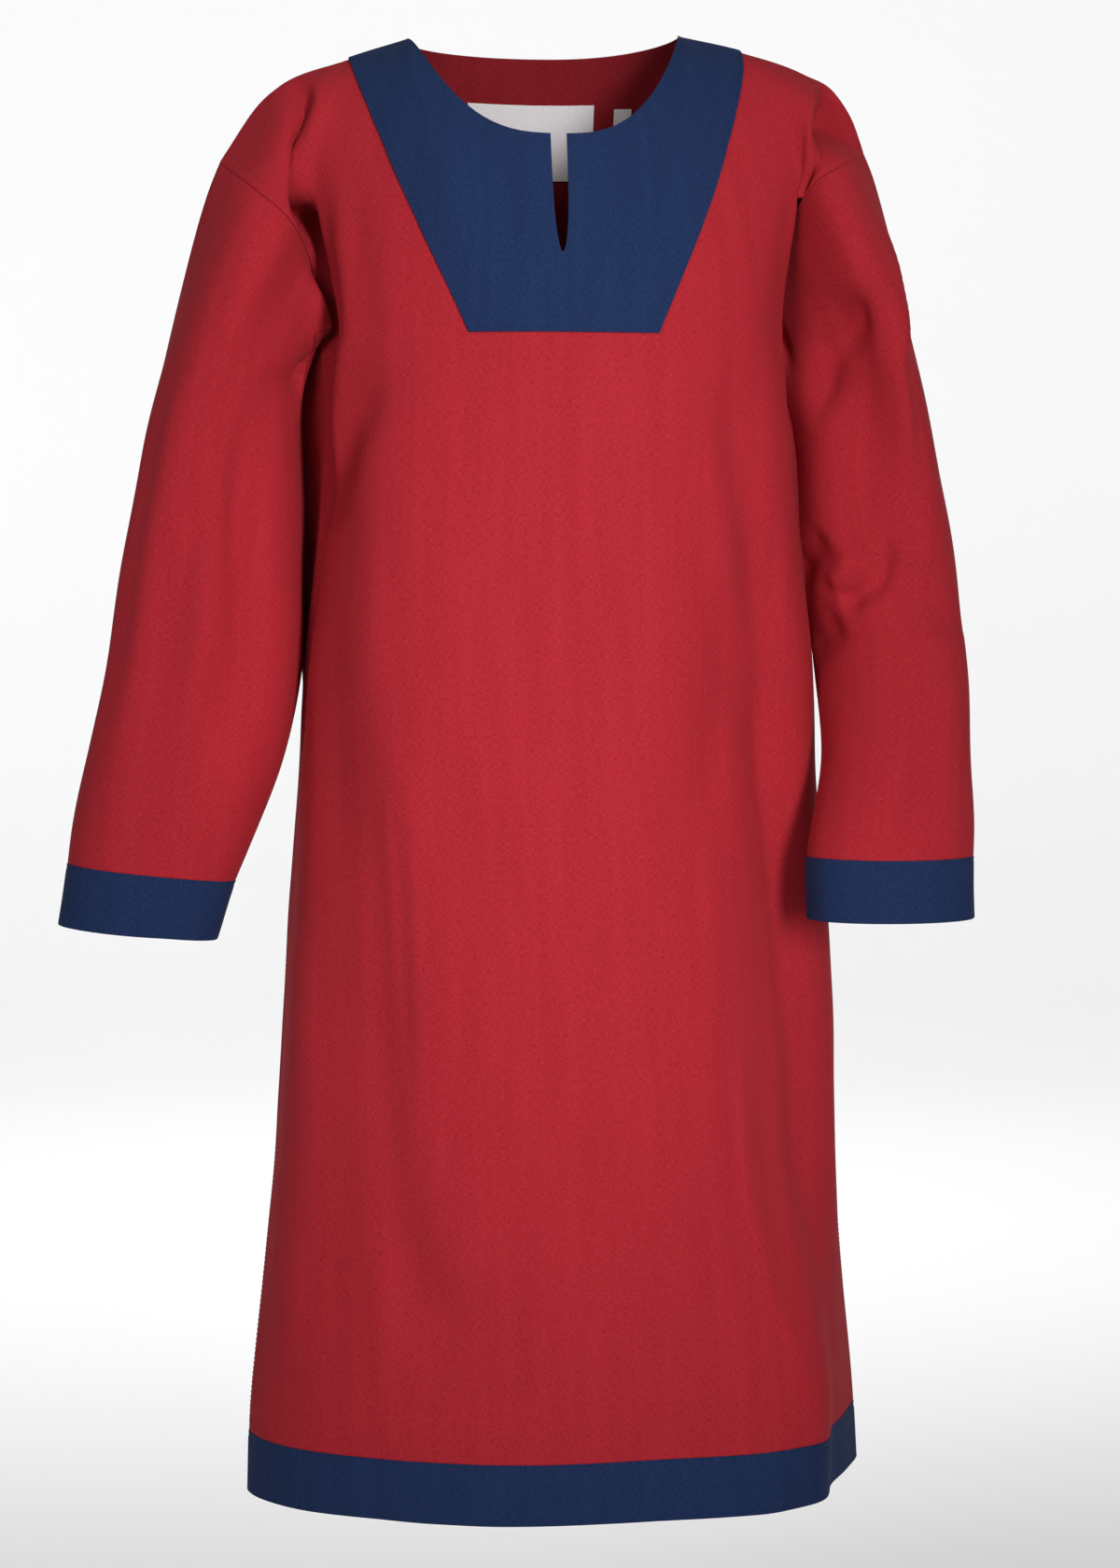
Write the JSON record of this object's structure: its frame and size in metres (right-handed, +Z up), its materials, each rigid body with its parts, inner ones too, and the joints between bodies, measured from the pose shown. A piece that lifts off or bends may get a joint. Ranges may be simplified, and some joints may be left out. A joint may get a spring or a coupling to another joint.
{
  "type": "medieval tunic",
  "caption": "Long-sleeved knee-length cotton tunic in red, filled out as if worn, with a slit round neck, a tapered blue yoke, and blue bands at the cuffs and hem.",
  "frame": {"origin": "midway between the two points where the shoulder seams meet the neck", "axes": "+Z up, the front faces -Y, the wearer's left is +X"},
  "size_m": [0.6727, 0.3002, 1.0811],
  "materials": {
    "red_cloth": "matte plain-weave cotton",
    "blue_cloth": "matte plain-weave cotton",
    "white_weave": "smooth woven tape"
  },
  "bodies": {
    "root": {"front": "red_cloth", "back": "red_cloth", "sleeve_right": "red_cloth", "sleeve_left": "red_cloth", "yoke": "blue_cloth", "cuff_right": "blue_cloth", "cuff_left": "blue_cloth", "hem_band_front": "blue_cloth", "hem_band_back": "blue_cloth", "label": "white_weave", "size_tag": "white_weave"}
  },
  "joints": []
}
